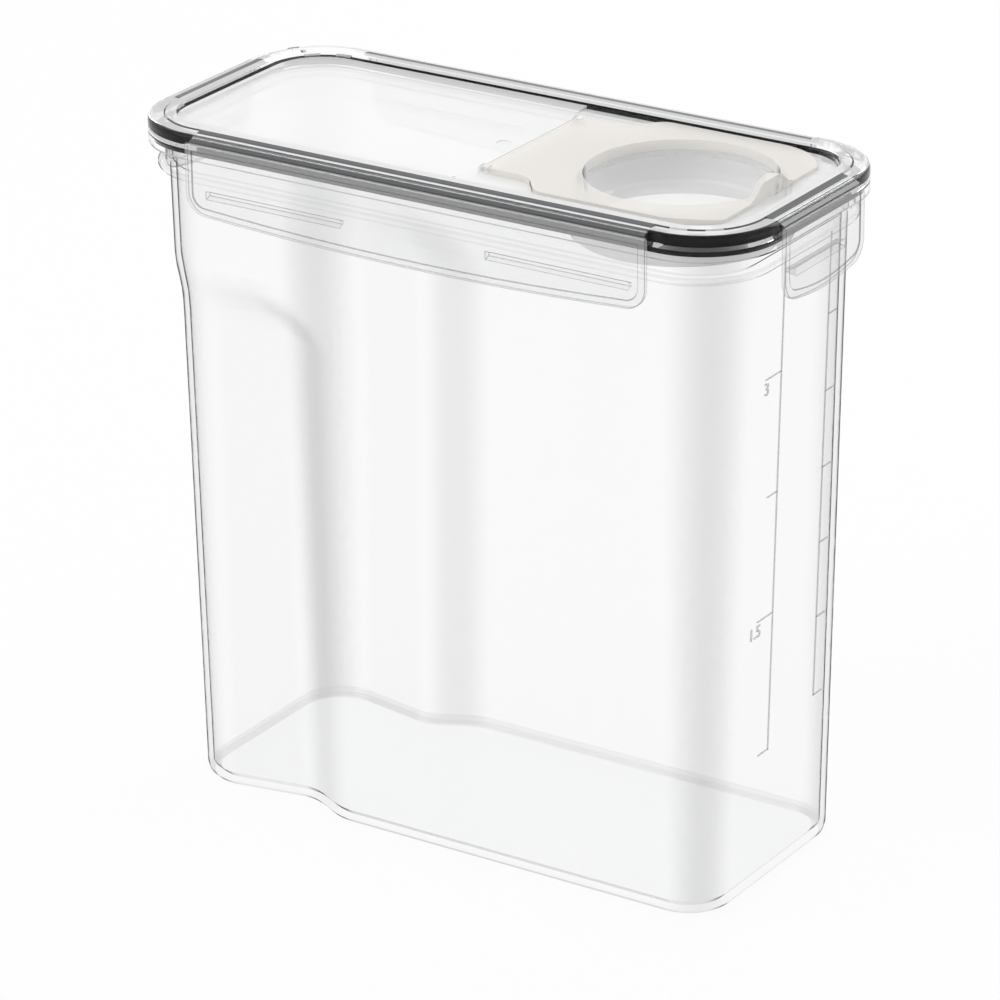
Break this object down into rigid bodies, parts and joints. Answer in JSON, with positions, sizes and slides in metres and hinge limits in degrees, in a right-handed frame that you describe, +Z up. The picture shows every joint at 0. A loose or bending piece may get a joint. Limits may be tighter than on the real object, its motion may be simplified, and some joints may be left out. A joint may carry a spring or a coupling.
{
  "type": "food storage container",
  "caption": "Clear tall food bin with a grip hollow, a gasketed lift-off lid, locking flaps on each side and a hinged round pour cap.",
  "frame": {"origin": "centre of the overall box at the floor, under the tub", "axes": "+X along the length toward the pour cap, +Y to the rear, +Z up from the floor to the lid"},
  "size_m": [0.243, 0.112, 0.247],
  "materials": {
    "clear_plastic": "clear and glossy",
    "frosted_plastic": "slightly frosted, satin",
    "cap_plastic": "clear with a faint cream tint",
    "black_silicone": "satin black",
    "pale_silicone": "translucent white, satin"
  },
  "bodies": {
    "container": {"tub": "clear_plastic"},
    "lid": {"lid_shell": "clear_plastic", "lid_gasket": "black_silicone", "front_hinge_strip": "frosted_plastic", "rear_hinge_strip": "frosted_plastic", "left_hinge_strip": "frosted_plastic", "right_hinge_strip": "frosted_plastic"},
    "front_latch": {"front_flap": "frosted_plastic"},
    "rear_latch": {"rear_flap": "frosted_plastic"},
    "left_latch": {"left_flap": "frosted_plastic"},
    "right_latch": {"right_flap": "frosted_plastic"},
    "cap": {"flip_cap": "cap_plastic", "spout_seal": "pale_silicone"}
  },
  "joints": [
    {"name": "lid_lift", "type": "slide", "parent": "container", "child": "lid", "axis": [0, 0, 1], "range_m": [0, 0.06]},
    {"name": "front_flap_hinge", "type": "hinge", "parent": "lid", "child": "front_latch", "pos_m": [0, -0.0552, 0.2392], "axis": [-1, 0, 0], "range_deg": [0, 115]},
    {"name": "rear_flap_hinge", "type": "hinge", "parent": "lid", "child": "rear_latch", "pos_m": [0, 0.0552, 0.2392], "axis": [1, 0, 0], "range_deg": [0, 115]},
    {"name": "left_flap_hinge", "type": "hinge", "parent": "lid", "child": "left_latch", "pos_m": [-0.1207, 0, 0.2392], "axis": [0, 1, 0], "range_deg": [0, 115]},
    {"name": "right_flap_hinge", "type": "hinge", "parent": "lid", "child": "right_latch", "pos_m": [0.1207, 0, 0.2392], "axis": [0, -1, 0], "range_deg": [0, 115]},
    {"name": "cap_hinge", "type": "hinge", "parent": "lid", "child": "cap", "pos_m": [0.011, 0, 0.24095], "axis": [0, -1, 0], "range_deg": [0, 110]}
  ]
}
